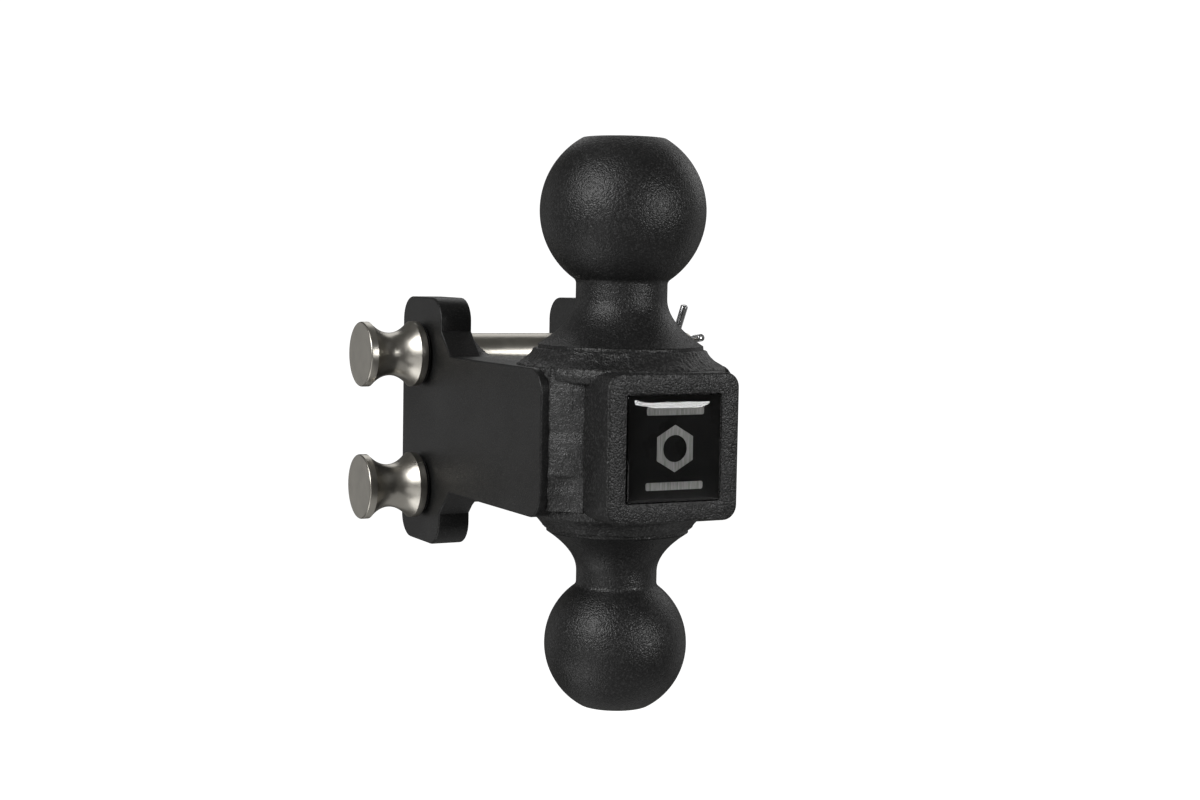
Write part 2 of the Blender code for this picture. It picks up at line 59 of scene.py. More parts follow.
HALF_BAR = BAR_HIGH.z
BAR_FRONT_Y = BAR_LOW.y
BALLS_Y = (UPPER_BALL_LOW.y + UPPER_BALL_HIGH.y) / 2
PLATE_INNER, PLATE_OUTER = PLATE_LOW.x, PLATE_HIGH.x
PLATE_FRONT_Y = PLATE_LOW.y
EAR_WIDTH = PLATE_HIGH.y
EAR_TOP = PLATE_HIGH.z
PIN_Y = EAR_WIDTH / 2
PIN_LEVELS = {"upper": 1, "lower": -1}
HANDS = {"left": -1, "right": 1}

# Bar and badge
BAR_CORNER_R = 5.2 * MM
BAR_EDGE_R = 0.9 * MM
POCKET_EDGE_R = 0.25 * MM
POCKET_CORNER_R = 0.9 * MM
POCKET_GAP = 0.3 * MM  # round the badge and behind it
POCKET_DEPTH = BADGE_HIGH.y - BAR_FRONT_Y + POCKET_GAP
POCKET_SIDE = BADGE_HIGH.x - BADGE_LOW.x + 2 * POCKET_GAP
BADGE_CORNER_R = 0.8 * MM
DOME_SHOULDER = 6.5 * MM
DOME_SKIRT = 0.2 * MM
DOME_OVERLAP = 0.1 * MM  # of the resin and the print's front

# Plates
PLATE_PROUD = 0.3 * MM  # how far a plate's long edge stands above the bar's face
PLATE_TOP = HALF_BAR + PLATE_PROUD
PLATE_CORNER_R = 8.5 * MM
PLATE_EDGE_R = 0.7 * MM
EAR_CORNER_R = 9 * MM
EAR_SLOPE = 9.2 * MM
WELD_PREP_SLOPE = 0.3  # the front edge leans back towards the bar, to take the weld
PIN_HOLE_R = 21 / 64 * INCH

# Balls, as in the part: a neck that starts above the bar's face and runs straight for a length
BALLS = {
    "upper": {"radius": 37 / 32 * INCH, "flat": 3.87 * MM, "neck_r": 16.2 * MM,
              "neck_start": 24.1 * MM, "neck_length": 4.95 * MM, "flange_r": 29.3 * MM},
    "lower": {"radius": INCH, "flat": 3.3 * MM, "neck_r": 14.4 * MM,
              "neck_start": 22.1 * MM, "neck_length": 3.85 * MM, "flange_r": 25.3 * MM},
}
FLANGE_HEIGHT = 7.6 * MM
FLANGE_RIM_R = 0.5 * MM
NECK_FILLET_R = 2.2 * MM
FLAT_EDGE_R = 1.2 * MM

# Welds: the beads' surfaces swell slowly, with a finer unevenness on top
SLOW_SWELL = 9 * MM
FINE_SWELL = 2.2 * MM
BALL_WELD_WIDTH = 8 * MM
BALL_WELD_HEIGHT = 6.2 * MM
BALL_WELD_DROP = 4 * MM
BALL_WELD_RIPPLES = 96
FRONT_WELD_ON_PLATE = 9.4 * MM
FRONT_WELD_ON_BAR = 7 * MM
FRONT_WELD_RESTART_Z = -10.5 * MM
SEAM_WELD_REACH = 6 * MM  # from a plate's inner face, over the bar's rounded edge
SEAM_WELD_CROWN = 0.4 * MM
SEAM_WELD_STOP = 0.3 * MM  # short of the channel's floor
EAR_WELD_LEG = 7.5 * MM
EAR_WELD_REACH = 9 * MM
EAR_WELD_LENGTH = 9.5 * MM

# Pins
PIN_R = 5 / 16 * INCH
HEAD_LENGTH = 23.4 * MM
HEAD_FACE_R = 12.4 * MM
HEAD_FLANGE_R = 12.6 * MM
HEAD_WAIST_R = 8.2 * MM
HEAD_RIM = 3 * MM
HEAD_CHAMFER = 0.7 * MM
PIN_D = 2 * PIN_R
PIN_Z = INCH  # half of the pins' spacing

# Hairpin clips: u runs along the straight leg to its tip, v towards the bent leg
WIRE_D = 3.1 * MM
CLIP_HOLE_R = 2.1 * MM
CLIP_GAP = 0.3 * MM  # between the bent leg and the pin
CLIP_X = PLATE_OUTER + 34.4 * MM
CLIP_TIP = 22.3 * MM
CLIP_TAIL = 33 * MM
CLIP_EYE_R = 5.2 * MM
CLIP_NECK = 4.2 * MM
CLIP_FLARE = 18.4 * MM
# Direction of u, from +Y towards +Z, and which way v lies from it
CLIPS = {"upper": {"angle": math.radians(119), "turn": 1}, "lower": {"angle": math.radians(325), "turn": -1}}

# Camera
CAMERA_PLACE = Vector((-0.31410, -0.65314, 0.06204))
CAMERA_HEADING = 27.79  # degrees from +Y towards +X
CAMERA_PITCH = -4.22
CAMERA_ROLL = 1.04
CAMERA_LENS = 56.06

# Studio: radiances are relative to the white backdrop's 1
ROOM_LIGHT = 0.075
ROOM_COLOR = (1.0, 0.99, 0.96, 1.0)
BACKDROP_R = 4.0
FLOOR_Z = -0.45
SOFT_BOXES = (
    {"name": "key", "direction": (-0.82, -0.27, 0.5), "distance": 1.2, "width": 0.72, "height": 0.72,
     "radiance": 5.4},
    {"name": "fill", "direction": (0.38, -0.9, 0.18), "distance": 1.2, "width": 0.42, "height": 0.22,
     "radiance": 15.0},
    {"name": "side_wall", "direction": (-0.465, 0.88, -0.05), "distance": 1.5, "width": 1.2, "height": 1.2,
     "radiance": 0.22},
    {"name": "right_wall", "direction": (0.97, 0.15, 0.0), "distance": 1.3, "width": 1.0, "height": 1.2,
     "radiance": 0.3},
    {"name": "back", "direction": (0.35, 0.7, 0.65), "distance": 1.3, "width": 0.8, "height": 0.8,
     "radiance": 0.85},
    {"name": "right_key", "direction": (0.85, 0.35, 0.45), "distance": 1.3, "width": 0.6, "height": 0.6,
     "radiance": 1.0},
    {"name": "table", "direction": (0.1, -0.1, -1), "distance": 0.6, "width": 1.2, "height": 1.2,
     "radiance": 0.22},
    {"name": "low_bounce", "direction": (-0.72, 0.05, -0.69), "distance": 1.0, "width": 0.6, "height": 0.45,
     "radiance": 1.5},
    {"name": "left_bounce", "direction": (-0.84, -0.45, -0.34), "distance": 1.0, "width": 0.9, "height": 0.45,
     "radiance": 0.6},
)

# Powder coats: grains and orange peel by size and height, and the black's tone and that of its pale specks,
# which are painted glints
COATS = {
    "balls": {"grain": 0.55 * MM, "grain_height": 0.24 * MM, "peel_height": 0.06 * MM,
              "tone": 0.013, "glint_tone": 0.036, "roughness": 0.42},
    "bar": {"grain": 0.55 * MM, "grain_height": 0.3 * MM, "peel_height": 0.01 * MM,
            "tone": 0.014, "glint_tone": 0.045, "roughness": 0.44},
    "plates": {"grain": 0.4 * MM, "grain_height": 0.06 * MM, "peel_height": 0.012 * MM,
               "tone": 0.011, "glint_tone": 0.03, "roughness": 0.44},
    "ball_welds": {"grain": 0.6 * MM, "grain_height": 0.3 * MM, "peel_height": 0.06 * MM,
                   "tone": 0.018, "glint_tone": 0.055, "roughness": 0.44},
    # The plate welds' black and glint tones are about three times the plates': a lighter copy of the same
    # coat, painting in the light the weld beads catch
    "plate_welds": {"grain": 0.5 * MM, "grain_height": 0.24 * MM, "peel_height": 0.03 * MM,
                    "tone": 0.038, "glint_tone": 0.085, "roughness": 0.42},
}


# ---------------------------------------------------------------- mesh helpers

def give(obj, finish):
    """Make a finish the object's only material."""
    obj.data.materials.clear()
    obj.data.materials.append(finish)


def new_object(name, mesh, body, finish, stands_for):
    """A piece made from a mesh, riding on a body in place of CAD nodes."""
    obj = bpy.data.objects.new(name, mesh)
    bpy.context.scene.collection.objects.link(obj)
    give(obj, finish)
    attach(obj, body)
    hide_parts(*stands_for)


def smooth(mesh, angle=35):
    mesh.shade_smooth()
    mesh.set_sharp_from_angle(angle=math.radians(angle))
    return mesh


def held(value):
    """The value, kept between 0 and 1."""
    return min(1.0, max(0.0, value))


def quarter_turn(steps):
    """Angles from 0 to a right angle, both included."""
    return [i / steps * QUARTER for i in range(steps + 1)]


def arc(cx, cy, radius, start, end, steps):
    """Points along an arc, angles in radians, both ends included."""
    angles = [start + (end - start) * i / steps for i in range(steps + 1)]
    return [(cx + radius * math.cos(a), cy + radius * math.sin(a)) for a in angles]


def rounded_square(side, radius, steps=10):
    """Counter-clockwise outline, centred on the origin."""
    reach = side / 2 - radius
    points = []
    for quarter, (sx, sy) in enumerate(((1, 1), (-1, 1), (-1, -1), (1, -1))):
        points += arc(sx * reach, sy * reach, radius, quarter * QUARTER, (quarter + 1) * QUARTER, steps)
    return points


def loft(name, rings):
    """A mesh through rings of equal point count, capped at both ends."""
    work = bmesh.new()
    loops = [[work.verts.new(point) for point in ring] for ring in rings]
    for near, far in zip(loops, loops[1:]):
        for i in range(len(near)):
            j = (i + 1) % len(near)
            work.faces.new((near[i], near[j], far[j], far[i]))
    work.faces.new(loops[0][::-1])
    work.faces.new(loops[-1])
    bmesh.ops.recalc_face_normals(work, faces=work.faces)
    mesh = bpy.data.meshes.new(name)
    work.to_mesh(mesh)
    work.free()
    return mesh


def turned(name, profile, matrix, steps=128, closed=False):
    """Turn a profile of (radius, height) about Z, and place the mesh by a matrix. An open profile
    starts and ends on the axis, where its ring is a single point."""
    work = bmesh.new()
    rings = []
    for radius, height in profile:
        if radius == 0:
            rings.append([work.verts.new((0, 0, height))])
            continue
        angles = [2 * math.pi * i / steps for i in range(steps)]
        rings.append([work.verts.new((radius * math.cos(a), radius * math.sin(a), height)) for a in angles])
    pairs = list(zip(rings, rings[1:]))
    if closed:
        pairs.append((rings[-1], rings[0]))
    for near, far in pairs:
        for i in range(steps):
            j = (i + 1) % steps
            if len(near) == 1:
                work.faces.new((near[0], far[i], far[j]))
            elif len(far) == 1:
                work.faces.new((near[i], far[0], near[j]))
            else:
                work.faces.new((near[i], far[i], far[j], near[j]))
    bmesh.ops.recalc_face_normals(work, faces=work.faces)
    mesh = bpy.data.meshes.new(name)
    work.to_mesh(mesh)
    work.free()
    mesh.transform(matrix)
    return mesh


def evaluated(obj):
    """The object's mesh with its modifiers applied; the object itself is removed."""
    graph = bpy.context.evaluated_depsgraph_get()
    graph.update()
    mesh = bpy.data.meshes.new_from_object(obj.evaluated_get(graph))
    mesh.transform(obj.matrix_world)
    bpy.data.objects.remove(obj, do_unlink=True)
    return mesh


def lumps(point, size, seed):
    """Smooth noise from about -1 to 1, with bumps of a given size."""
    return noise.fractal(Vector(point) / size + Vector((seed, seed, seed)), 0.8, 2.0, 3)


# ---------------------------------------------------------------- materials

class Finish:
    """A material and short ways of adding nodes to it. The colour and roughness it starts from
    are what shows where a viewer reads no nodes."""

    def __init__(self, name, color, roughness, metallic=0.0):
        self.material = bpy.data.materials.new(name)
        self.material.use_nodes = True
        self.tree = self.material.node_tree
        self.shader = self.tree.nodes["Principled BSDF"]
        self.shader.inputs["Base Color"].default_value = (*color, 1.0)
        self.shader.inputs["Roughness"].default_value = roughness
        self.shader.inputs["Metallic"].default_value = metallic
        self.where = self.node("ShaderNodeTexCoord").outputs["Object"]

    def node(self, kind, **settings):
        made = self.tree.nodes.new(kind)
        for name, value in settings.items():
            setattr(made, name, value)
        return made

    def link(self, source, target):
        self.tree.links.new(source, target)

    def noise(self, size, detail, where=None):
        """Noise from 0 to 1 whose grains are about a size across."""
        made = self.node("ShaderNodeTexNoise")
        made.inputs["Scale"].default_value = 1 / size
        made.inputs["Detail"].default_value = detail
        self.link(where or self.where, made.inputs["Vector"])
        return made.outputs["Fac"]

    def stretched(self, scale):
        """The surface's coordinates, scaled along each axis."""
        made = self.node("ShaderNodeMapping")
        made.inputs["Scale"].default_value = scale
        self.link(self.where, made.inputs["Vector"])
        return made.outputs["Vector"]

    def spread(self, value, to_low, to_high, low=0.3, high=0.7):
        """Map a noise's middle range to another range, held at the ends."""
        made = self.node("ShaderNodeMapRange")
        self.link(value, made.inputs["Value"])
        for name, number in (("From Min", low), ("From Max", high), ("To Min", to_low), ("To Max", to_high)):
            made.inputs[name].default_value = number
        return made.outputs["Result"]

    def blend(self, share, first, second):
        """Mix two colours by a share from 0 to 1. A colour mix takes its factor at input 0 and its
        colours at inputs 6 and 7, and gives the result at output 2."""
        made = self.node("ShaderNodeMix", data_type="RGBA")
        self.link(share, made.inputs[0])
        for index, color in ((6, first), (7, second)):
            if isinstance(color, tuple):
                made.inputs[index].default_value = (*color, 1.0)
            else:
                self.link(color, made.inputs[index])
        return made.outputs[2]

    def bump(self, height, distance, under=None):
        """Raise the surface by a height from 0 to 1 times a distance."""
        made = self.node("ShaderNodeBump")
        made.inputs["Distance"].default_value = distance
        self.link(height, made.inputs["Height"])
        if under is not None:
            self.link(under, made.inputs["Normal"])
        return made.outputs["Normal"]

    def color(self, value):
        self.link(value, self.shader.inputs["Base Color"])

    def roughness(self, value):
        self.link(value, self.shader.inputs["Roughness"])

    def normal(self, value):
        self.link(value, self.shader.inputs["Normal"])


def powder_coat(name, grain, grain_height, peel_height, tone, glint_tone, roughness):
    """Black powder coat: fine grains on a softer orange peel, with pale specks painted into its colour as
    glints of light.
    """
    finish = Finish(name, (tone,) * 3, roughness)
    grains = finish.noise(grain, detail=0.5)
    painted_glints = finish.noise(1.3 * grain, detail=1.0)
    peel = finish.noise(6 * grain, detail=1.0)
    clouds = finish.noise(14 * MM, detail=3.0)
    dark, pale, glint_color = (0.6 * tone,) * 3, (1.05 * tone,) * 3, (glint_tone,) * 3
    film = finish.blend(finish.spread(clouds, 0, 1, low=0.35, high=0.65), dark, pale)
    # Painted glints: pale specks in the colour stand in for light catching the grains
    finish.color(finish.blend(finish.spread(painted_glints, 0, 1, low=0.52, high=0.68), film, glint_color))
    finish.roughness(finish.spread(grains, roughness - 0.12, roughness + 0.06))
    finish.normal(finish.bump(grains, grain_height, under=finish.bump(peel, peel_height)))
    return finish.material


def turned_steel(name):
    """Warm stainless steel with fine tool rings round the pin's axis."""
    finish = Finish(name, (0.5, 0.47, 0.43), 0.3, metallic=1.0)
    rings = finish.noise(0.35 * MM, detail=2.0, where=finish.stretched((1.0, 0.05, 0.05)))
    stains = finish.noise(7 * MM, detail=3.0)
    scratches = finish.noise(0.25 * MM, detail=1.0)
    dull, bright = (0.56, 0.535, 0.48), (0.68, 0.65, 0.585)
    finish.color(finish.blend(finish.spread(stains, 0, 1), dull, bright))
    finish.roughness(finish.spread(stains, 0.27, 0.37))
    finish.normal(finish.bump(scratches, 0.008 * MM, under=finish.bump(rings, 0.012 * MM)))
    return finish.material


def plated_wire(name):
    """Bright zinc-plated spring wire, slightly cloudy and uneven."""
    finish = Finish(name, (0.72, 0.73, 0.74), 0.2, metallic=1.0)
    clouds = finish.noise(2.5 * MM, detail=3.0)
    dull, bright = (0.62, 0.63, 0.65), (0.8, 0.8, 0.8)
    finish.color(finish.blend(finish.spread(clouds, 0, 1), dull, bright))
    finish.roughness(finish.spread(clouds, 0.14, 0.26))
    finish.normal(finish.bump(finish.noise(0.3 * MM, detail=2.0), 0.01 * MM))
    return finish.material


def rubber(name):
    """Dull black rubber with a fine grain."""
    finish = Finish(name, (0.012, 0.012, 0.012), 0.75)
    grain = finish.noise(0.3 * MM, detail=2.0)
    finish.roughness(finish.spread(grain, 0.65, 0.85))
    finish.normal(finish.bump(grain, 0.03 * MM))
    return finish.material


def printed_black(name):
    """Black ink under the resin, which leaves it almost no reflection of its own."""
    finish = Finish(name, (0.002, 0.002, 0.002), 0.3)
    finish.shader.inputs["Specular IOR Level"].default_value = 0.05
    clouds = finish.noise(9 * MM, detail=2.0)
    finish.color(finish.blend(clouds, (0.001, 0.001, 0.001), (0.003, 0.003, 0.003)))
    finish.roughness(finish.spread(clouds, 0.25, 0.35))
    return finish.material


def brushed_silver(name):
    """Silver print with a fine upright brush."""
    finish = Finish(name, (0.45, 0.45, 0.45), 0.4, metallic=0.6)
    brush = finish.noise(0.5 * MM, detail=3.0, where=finish.stretched((1.0, 1.0, 0.06)))
    dull, bright = (0.16, 0.16, 0.155), (0.35, 0.35, 0.34)
    finish.color(finish.blend(finish.spread(brush, 0, 1), dull, bright))
    finish.roughness(finish.spread(brush, 0.3, 0.5))
    return finish.material


def clear_resin(name):
    """Clear glass-like resin with a faintly wavy surface."""
    finish = Finish(name, (1.0, 1.0, 1.0), 0.03)
    finish.shader.inputs["Transmission Weight"].default_value = 1.0
    finish.shader.inputs["IOR"].default_value = 1.5
    waves = finish.noise(5 * MM, detail=1.0)
    finish.roughness(finish.spread(waves, 0.02, 0.05))
    finish.normal(finish.bump(waves, 0.006 * MM))
    return finish.material


def studio_white(name):
    """White studio paper, lit evenly."""
    finish = Finish(name, (0.8, 0.8, 0.8), 0.9)
    finish.shader.inputs["Emission Color"].default_value = (1.0, 1.0, 1.0, 1.0)
    finish.shader.inputs["Emission Strength"].default_value = 1.0
    return finish.material


# ---------------------------------------------------------------- bar and plates

def center_bar(finish):
    """Solid square bar: rounded along its length, eased at both ends, with the badge's pocket."""
    def ring(side, radius, y):
        return [(x, y, z) for x, z in rounded_square(side, radius)]

    side = 2 * HALF_BAR
    rings = []
    for a in quarter_turn(4):
        inset = BAR_EDGE_R * (1 - math.sin(a))
        y = BAR_HIGH.y - BAR_EDGE_R * (1 - math.cos(a))
        rings.append(ring(side - 2 * inset, BAR_CORNER_R - inset, y))
    for a in quarter_turn(4):
        inset = BAR_EDGE_R * (1 - math.cos(a))
        y = BAR_FRONT_Y + BAR_EDGE_R * (1 - math.sin(a))
        rings.append(ring(side - 2 * inset, BAR_CORNER_R - inset, y))
    for a in quarter_turn(3):
        grow = POCKET_EDGE_R * (1 - math.sin(a))
        y = BAR_FRONT_Y + POCKET_EDGE_R * (1 - math.cos(a))
        rings.append(ring(POCKET_SIDE + 2 * grow, POCKET_CORNER_R + grow, y))
    rings.append(ring(POCKET_SIDE, POCKET_CORNER_R, BAR_FRONT_Y + POCKET_DEPTH))
    mesh = smooth(loft("bar", rings))
    new_object("bar", mesh, "mount", finish, ["center_bar"])


def plate_outline():
    """Side plate as (y, z), counter-clockwise, mirrored about z = 0."""
    upper = arc(EAR_WIDTH - EAR_CORNER_R, EAR_TOP - EAR_CORNER_R, EAR_CORNER_R, 0, QUARTER, 16)
    upper += arc(EAR_CORNER_R, EAR_TOP - EAR_CORNER_R, EAR_CORNER_R, QUARTER, 2 * QUARTER, 16)
    upper.append((0, PLATE_TOP + EAR_SLOPE))
    upper.append((-EAR_SLOPE, PLATE_TOP))
    upper += arc(PLATE_FRONT_Y + PLATE_CORNER_R, PLATE_TOP - PLATE_CORNER_R, PLATE_CORNER_R,
                 QUARTER, 2 * QUARTER, 16)
    lower = [(y, -z) for y, z in reversed(upper)]
    return upper + lower


def side_plate(hand, side, finish):
    """Plate with two ears, eased edges and two pin holes."""
    name = hand + "_plate"
    hole_sides = 48
    curve = bpy.data.curves.new(name, "CURVE")
    curve.dimensions = "2D"
    curve.fill_mode = "BOTH"
    curve.bevel_depth = PLATE_EDGE_R
    curve.bevel_resolution = 3
    curve.offset = -PLATE_EDGE_R
    curve.extrude = (PLATE_OUTER - PLATE_INNER) / 2 - PLATE_EDGE_R
    last_angle = 2 * math.pi * (hole_sides - 1) / hole_sides
    holes = [arc(PIN_Y, level * PIN_Z, PIN_HOLE_R, 0, last_angle, hole_sides - 1) for level in (1, -1)]
    for loop in (plate_outline(), *holes):
        spline = curve.splines.new("POLY")
        spline.points.add(len(loop) - 1)
        for point, (y, z) in zip(spline.points, loop):
            point.co = (y, z, 0.0, 1.0)
        spline.use_cyclic_u = True
    blank = bpy.data.objects.new(name, curve)
    bpy.context.scene.collection.objects.link(blank)
    blank.location.x = side * (PLATE_INNER + PLATE_OUTER) / 2
    blank.rotation_euler = (QUARTER, 0, QUARTER)
    bpy.context.view_layer.update()
    mesh = evaluated(blank)
    for vert in mesh.vertices:
        past_corner = held((vert.co.y - PLATE_FRONT_Y) / PLATE_CORNER_R)
        depth = PLATE_OUTER - abs(vert.co.x)
        vert.co.y += WELD_PREP_SLOPE * depth * (1 - past_corner ** 2)
    new_object(name, smooth(mesh), "mount", finish, [hand + "_side_plate"])


# ---------------------------------------------------------------- balls

def ball_profile(radius, flat, neck_r, neck_start, neck_length, flange_r):
    """From the ball's flat down to its flange, as (radius, height above the bar's face)."""
    flat_height = radius - flat
    fillet_r = neck_r + NECK_FILLET_R
    fillet_drop = math.sqrt((radius + NECK_FILLET_R) ** 2 - fillet_r ** 2)
    neck_angle = -math.asin(fillet_drop / (radius + NECK_FILLET_R))
    height = neck_start + neck_length + fillet_drop
    # The flat meets the ball through a small arc that touches both
    edge_center_z = height + flat_height - FLAT_EDGE_R
    edge_center_r = math.sqrt((radius - FLAT_EDGE_R) ** 2 - (flat_height - FLAT_EDGE_R) ** 2)
    edge_angle = math.atan2(flat_height - FLAT_EDGE_R, edge_center_r)
    # A ring close to the flat's edge keeps the flat's shading even
    profile = [(0, height + flat_height), (0.9 * edge_center_r, height + flat_height)]
    profile += arc(edge_center_r, edge_center_z, FLAT_EDGE_R, QUARTER, edge_angle, 6)
    profile += arc(0, height, radius, edge_angle, neck_angle, 64)[1:]
    profile += arc(fillet_r, height - fillet_drop, NECK_FILLET_R, math.pi + neck_angle, math.pi, 8)[1:]
    flare_drop = neck_start - FLANGE_HEIGHT
    steps = 24
    for i in range(steps + 1):
        t = i / steps
        profile.append((neck_r + (flange_r - neck_r) * t * t, neck_start - flare_drop * t))
    rim_center = (flange_r - FLANGE_RIM_R, FLANGE_HEIGHT - FLANGE_RIM_R)
    profile += arc(*rim_center, FLANGE_RIM_R, QUARTER / 2, 0, 4)
    profile.append((flange_r, 0))
    profile.append((0, 0))
    return profile


def ball(height, sizes, finish):
    """Ball with its neck and flange; the lower one is the same shape turned over."""
    level = PIN_LEVELS[height]
    matrix = Matrix.Translation((0, BALLS_Y, level * HALF_BAR)) @ Matrix.Diagonal((1, 1, level, 1))
    mesh = turned(height + "_tow_ball", ball_profile(**sizes), matrix)
    if level < 0:
        mesh.flip_normals()
    new_object(height + "_tow_ball", smooth(mesh, 40), "mount", finish, [height + "_ball"])


# ---------------------------------------------------------------- welds

def smooth_through(points, steps):
    """Catmull-Rom curve through the inner points; the first and last only steer it."""
    path = []
    for a, b, c, d in zip(points, points[1:], points[2:], points[3:]):
        for i in range(steps):
            t = i / steps
            path.append(tuple(
                0.5 * (2 * q + (r - p) * t + (2 * p - 5 * q + 4 * r - s) * t ** 2
                       + (3 * q - p - 3 * r + s) * t ** 3)
                for p, q, r, s in zip(a, b, c, d)))
    path.append(points[-2])
    return path


def push_out(mesh, amount):
    """Move each vertex along its normal by amount(position)."""
    work = bmesh.new()
    work.from_mesh(mesh)
    work.normal_update()
    moves = [vert.normal * amount(vert.co) for vert in work.verts]
    for vert, move in zip(work.verts, moves):
        vert.co += move
    work.to_mesh(mesh)
    work.free()
    mesh.shade_smooth()


def ball_bead(height, sizes, finish):
    """Weld round a ball's flange. Its skirt hangs over the bar's rounded edges."""
    level = PIN_LEVELS[height]
    flange_r = sizes["flange_r"]
    inner_r, toe_r = flange_r - 2 * MM, flange_r + BALL_WELD_WIDTH
    top, skirt = BALL_WELD_HEIGHT, -BALL_WELD_DROP
    # Points of (radius, height above the bar's face), from inside the flange out to the skirt
    path = [
        (flange_r - 1.6 * MM, top - 1.2 * MM),
        (flange_r - 0.8 * MM, top - 0.2 * MM),
        (flange_r + 0.9 * MM, top),
        (flange_r + 2.2 * MM, 0.72 * top),
        (flange_r + 3.9 * MM, 0.44 * top),
        (flange_r + 6.0 * MM, 0.22 * top),
        (toe_r - 0.5 * MM, 0.4 * MM),
        (toe_r, skirt / 2),
        (toe_r - 0.6 * MM, skirt),
        (toe_r - 2 * MM, skirt - 0.3 * MM),
        (flange_r + 1 * MM, skirt),
    ]
    profile = smooth_through(path, 6) + [(inner_r, skirt), (inner_r, top - 1.5 * MM)]
    mesh = turned(height + "_ball_bead", profile, Matrix.Identity(4), 360, closed=True)
    slow_height, fine_height, ripple_height = 0.42 * MM, 0.16 * MM, 0.07 * MM
    fade_width = 1 * MM

    def bumps(co):
        turn = math.atan2(co.y, co.x)
        ripple = math.cos(turn * BALL_WELD_RIPPLES + 2 * lumps(co, SLOW_SWELL, seed=1))
        outside = held((math.hypot(co.x, co.y) - flange_r) / fade_width)
        rise = slow_height * lumps(co, SLOW_SWELL, seed=3 + level)
        rise += fine_height * lumps(co, FINE_SWELL, seed=9)
        return outside * (rise + ripple_height * ripple)

    push_out(mesh, bumps)
    mesh.transform(Matrix.Translation((0, BALLS_Y, level * HALF_BAR)) @ Matrix.Diagonal((1, 1, level, 1)))
    if level < 0:
        mesh.flip_normals()
    new_object(height + "_ball_bead", mesh, "mount", finish, [height + "_ball_weld"])


def front_bead(hand, side, finish):
    """Upright weld in the corner between a plate's front edge and the bar's side, laid in two
    runs: the upper one is full, and the lower one, which starts in a short step, is hollow."""
    steps_up, steps_across = 150, 26
    lift, crown, hollow, step_length = 0.2 * MM, 0.6 * MM, 1.5 * MM, 1.2 * MM
    toe_wander, slow_height, fine_height = 0.5 * MM, 0.5 * MM, 0.07 * MM
    bury_in_bar, bury_in_plate, into_ball_weld = 1 * MM, 0.6 * MM, 1.5 * MM
    toe_depth = WELD_PREP_SLOPE * (PLATE_OUTER - HALF_BAR - FRONT_WELD_ON_PLATE)
    root_y = PLATE_FRONT_Y + (WELD_PREP_SLOPE * (PLATE_OUTER - HALF_BAR) + bury_in_plate)
    root_x = side * (HALF_BAR - bury_in_bar)
    reach = HALF_BAR - BALL_WELD_DROP + into_ball_weld
    rings = []
    for i in range(steps_up + 1):
        z = reach * (1 - 2 * i / steps_up)
        lower_run = held((FRONT_WELD_RESTART_Z - z) / step_length)
        # Both toes wander, each on its own
        on_plate = FRONT_WELD_ON_PLATE + toe_wander * lumps((side * 30 * MM, 0, z), 6 * MM, seed=21)
        on_bar = FRONT_WELD_ON_BAR + toe_wander * lumps((0, 40 * MM, z), 7 * MM, seed=23)
        out = Vector((on_bar + toe_depth, -on_plate, 0)).normalized()
        ring = []
        for j in range(steps_across + 1):
            t = j / steps_across
            middle = 4 * t * (1 - t)
            point = Vector((
                HALF_BAR + on_plate * (1 - t),
                PLATE_FRONT_Y + toe_depth * (1 - t) - on_bar * t,
                z,
            ))
            rise = lift + crown * middle - hollow * lower_run * middle
            rise += middle * slow_height * (1 - 0.5 * lower_run) * lumps(point, SLOW_SWELL, seed=31)
            rise += middle * fine_height * (1 - 0.6 * lower_run) * lumps(point, FINE_SWELL, seed=37)
            point += out * rise
            ring.append((side * point.x, point.y, z))
        ring.append((root_x, PLATE_FRONT_Y - on_bar, z))
        ring.append((root_x, root_y, z))
        ring.append((side * (HALF_BAR + on_plate), root_y, z))
        rings.append(ring)
    mesh = smooth(loft(hand + "_front_bead", rings), 60)
    new_object(hand + "_front_bead", mesh, "mount", finish, [hand + "_front_weld"])


def seam_bead(height, hand, side, finish):
    """Bead along the groove between the bar's rounded edge and a plate. Beside the ear it climbs
    into a hollow fillet between the bar's face and the ear's inner side."""
    level = PIN_LEVELS[height]
    front, rear = PLATE_FRONT_Y + PLATE_CORNER_R, -SEAM_WELD_STOP
    steps_along, steps_across = 140, 16
    sink, bury, into_plate, end_length = 0.1 * MM, 3 * MM, 1.2 * MM, 1.5 * MM
    wave_height, wave_length = 0.25 * MM, 4 * MM
    root_z = level * (HALF_BAR - bury)
    inside_plate = side * (PLATE_INNER + into_plate)
    rings = []
    for i in range(steps_along + 1):
        y = front + (rear - front) * i / steps_along
        climb = held(1 + y / EAR_WELD_LENGTH)
        climb = climb * climb * (3 - 2 * climb)
        foot = PLATE_INNER - SEAM_WELD_REACH - (EAR_WELD_REACH - SEAM_WELD_REACH) * climb
        # The rear end is rounded over
        left = held((rear - y) / end_length)
        share = math.sqrt(1 - (1 - left) ** 2)
        ring = []
        for j in range(steps_across + 1):
            t = j / steps_across
            x = foot + (PLATE_INNER - foot) * t
            rise = EAR_WELD_LEG * climb * t * t + SEAM_WELD_CROWN * math.sin(math.pi * t)
            wave = lumps((x, y, 20 * MM * level), wave_length, seed=11)
            rise += (1 - 0.7 * climb) * wave_height * wave
            ring.append((side * x, y, level * (HALF_BAR - sink + (rise + sink) * share)))
        ring.append((inside_plate, y, ring[-1][2]))
        ring.append((inside_plate, y, root_z))
        ring.append((side * foot, y, root_z))
        rings.append(ring)
    name = f"{height}_{hand}_seam_bead"
    mesh = smooth(loft(name, rings), 60)
    new_object(name, mesh, "mount", finish, [f"{height}_{hand}_seam_weld"])


